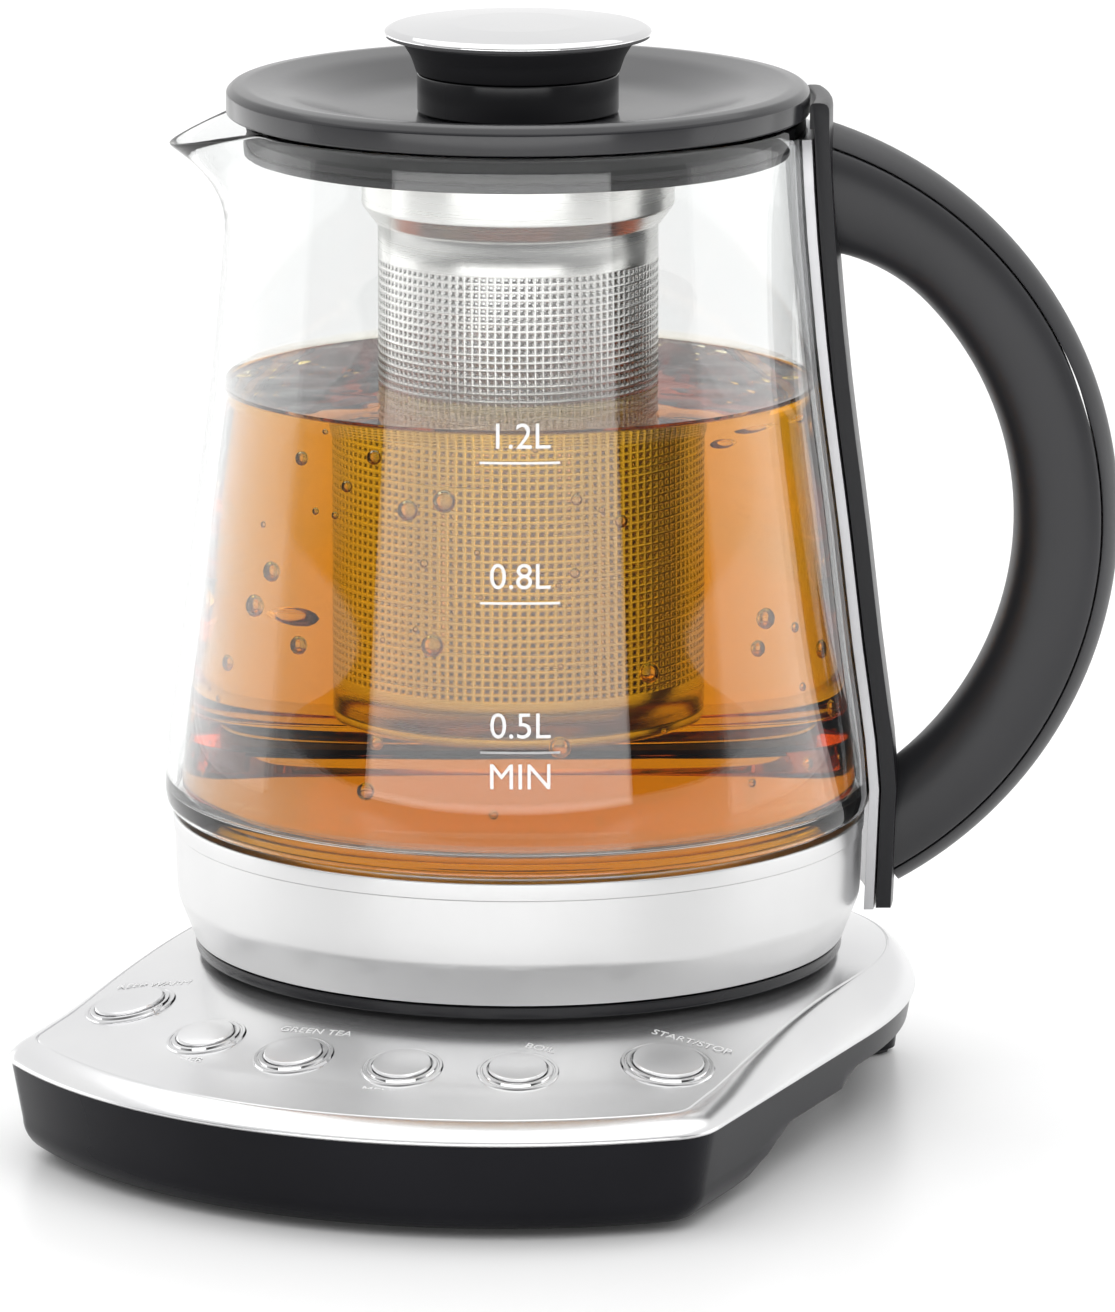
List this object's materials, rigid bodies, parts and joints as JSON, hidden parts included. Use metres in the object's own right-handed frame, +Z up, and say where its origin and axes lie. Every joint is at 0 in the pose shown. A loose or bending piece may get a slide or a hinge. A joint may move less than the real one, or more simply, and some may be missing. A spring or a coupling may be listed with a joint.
{
  "type": "electric tea kettle",
  "caption": "Glass electric tea kettle with a lidded carafe, a round handle, a hanging steel tea infuser and a powered base with press buttons.",
  "frame": {"origin": "centre of the overall box, on the surface the base stands on", "axes": "+X to the base's right side, -Y to its front where the buttons are, +Z up; the carafe is turned so that its handle points 24 degrees from +X towards +Y"},
  "size_m": [0.1976, 0.216, 0.233],
  "materials": {
    "brushed_steel": "brushed",
    "button_steel": "spun",
    "polished_steel": "polished",
    "satin_metal": "satin",
    "infuser_steel": "satin",
    "screw_steel": "plain",
    "charcoal_plastic": "satin",
    "housing_plastic": "satin",
    "black_plastic": "satin",
    "clear_glass": "clear",
    "silicone": "matte",
    "contact_brass": "satin",
    "circuit_board": "gloss"
  },
  "bodies": {
    "power_base": {"base_top_plate": "brushed_steel", "base_housing": "housing_plastic", "base_frame": "black_plastic", "base_screw_1": "screw_steel", "base_screw_2": "screw_steel", "base_screw_3": "screw_steel", "base_screw_4": "screw_steel", "button_bezel_1": "polished_steel", "button_bezel_2": "polished_steel", "button_bezel_3": "polished_steel", "button_bezel_4": "polished_steel", "button_bezel_5": "polished_steel", "button_bezel_6": "polished_steel", "control_board": "circuit_board", "power_board": "circuit_board", "foot_front_left": "silicone", "foot_front_right": "silicone", "foot_rear_left": "silicone", "foot_rear_right": "silicone", "cord_inlet_bush": "silicone", "connector_post": "black_plastic", "contact_ring_inner": "contact_brass", "contact_ring_outer": "contact_brass", "contact_pin": "contact_brass"},
    "button_1": {"button_1": "button_steel"},
    "button_2": {"button_2": "button_steel"},
    "button_3": {"button_3": "button_steel"},
    "button_4": {"button_4": "button_steel"},
    "button_5": {"button_5": "button_steel"},
    "button_6": {"button_6": "button_steel"},
    "kettle_socket": {"connector_socket": "black_plastic"},
    "carafe": {"glass_carafe": "clear_glass", "steel_band": "brushed_steel", "underbody_cover": "black_plastic", "underbody_screw_1": "screw_steel", "underbody_screw_2": "screw_steel", "underbody_screw_3": "screw_steel", "heater_seal": "silicone", "heater_plate": "brushed_steel", "heating_element": "satin_metal", "temperature_sensor": "contact_brass", "thermal_fuse": "satin_metal", "bracket_trim": "satin_metal", "handle_bracket": "black_plastic", "handle": "charcoal_plastic", "handle_cover": "charcoal_plastic", "handle_screw_1": "screw_steel", "handle_screw_2": "screw_steel"},
    "lid": {"lid_cover": "charcoal_plastic", "lid_plug": "black_plastic", "lid_seal": "silicone", "knob_neck": "black_plastic", "knob_collar": "charcoal_plastic", "knob_disc": "polished_steel", "knob_screw": "screw_steel", "infuser_mount": "black_plastic"},
    "infuser": {"infuser_collar": "infuser_steel", "infuser_tube": "infuser_steel", "infuser_bottom": "infuser_steel"}
  },
  "joints": [
    {"name": "kettle_lift", "type": "slide", "parent": "power_base", "child": "kettle_socket", "axis": [0, 0, 1], "range_m": [0, 0.1]},
    {"name": "kettle_swivel", "type": "hinge", "parent": "kettle_socket", "child": "carafe", "pos_m": [-0.01885, 0.012, 0.04], "axis": [0, 0, 1], "continuous": true},
    {"name": "lid_lift", "type": "slide", "parent": "carafe", "child": "lid", "axis": [0, 0, 1], "range_m": [0, 0.14]},
    {"name": "infuser_twist", "type": "hinge", "parent": "lid", "child": "infuser", "pos_m": [-0.01885, 0.012, 0.2], "axis": [0, 0, 1], "range_deg": [0, 60]},
    {"name": "button_1_press", "type": "slide", "parent": "power_base", "child": "button_1", "axis": [0.1527, 0.1581, -0.9755], "range_m": [0, 0.0008], "stiffness_N_per_m": 600, "springref_m": -0.0005},
    {"name": "button_2_press", "type": "slide", "parent": "power_base", "child": "button_2", "axis": [0.088, 0.2015, -0.9755], "range_m": [0, 0.0008], "stiffness_N_per_m": 600, "springref_m": -0.0005},
    {"name": "button_3_press", "type": "slide", "parent": "power_base", "child": "button_3", "axis": [0.0306, 0.2177, -0.9755], "range_m": [0, 0.0008], "stiffness_N_per_m": 600, "springref_m": -0.0005},
    {"name": "button_4_press", "type": "slide", "parent": "power_base", "child": "button_4", "axis": [-0.0306, 0.2177, -0.9755], "range_m": [0, 0.0008], "stiffness_N_per_m": 600, "springref_m": -0.0005},
    {"name": "button_5_press", "type": "slide", "parent": "power_base", "child": "button_5", "axis": [-0.088, 0.2015, -0.9755], "range_m": [0, 0.0008], "stiffness_N_per_m": 600, "springref_m": -0.0005},
    {"name": "button_6_press", "type": "slide", "parent": "power_base", "child": "button_6", "axis": [-0.1527, 0.1581, -0.9755], "range_m": [0, 0.0008], "stiffness_N_per_m": 600, "springref_m": -0.0005}
  ]
}
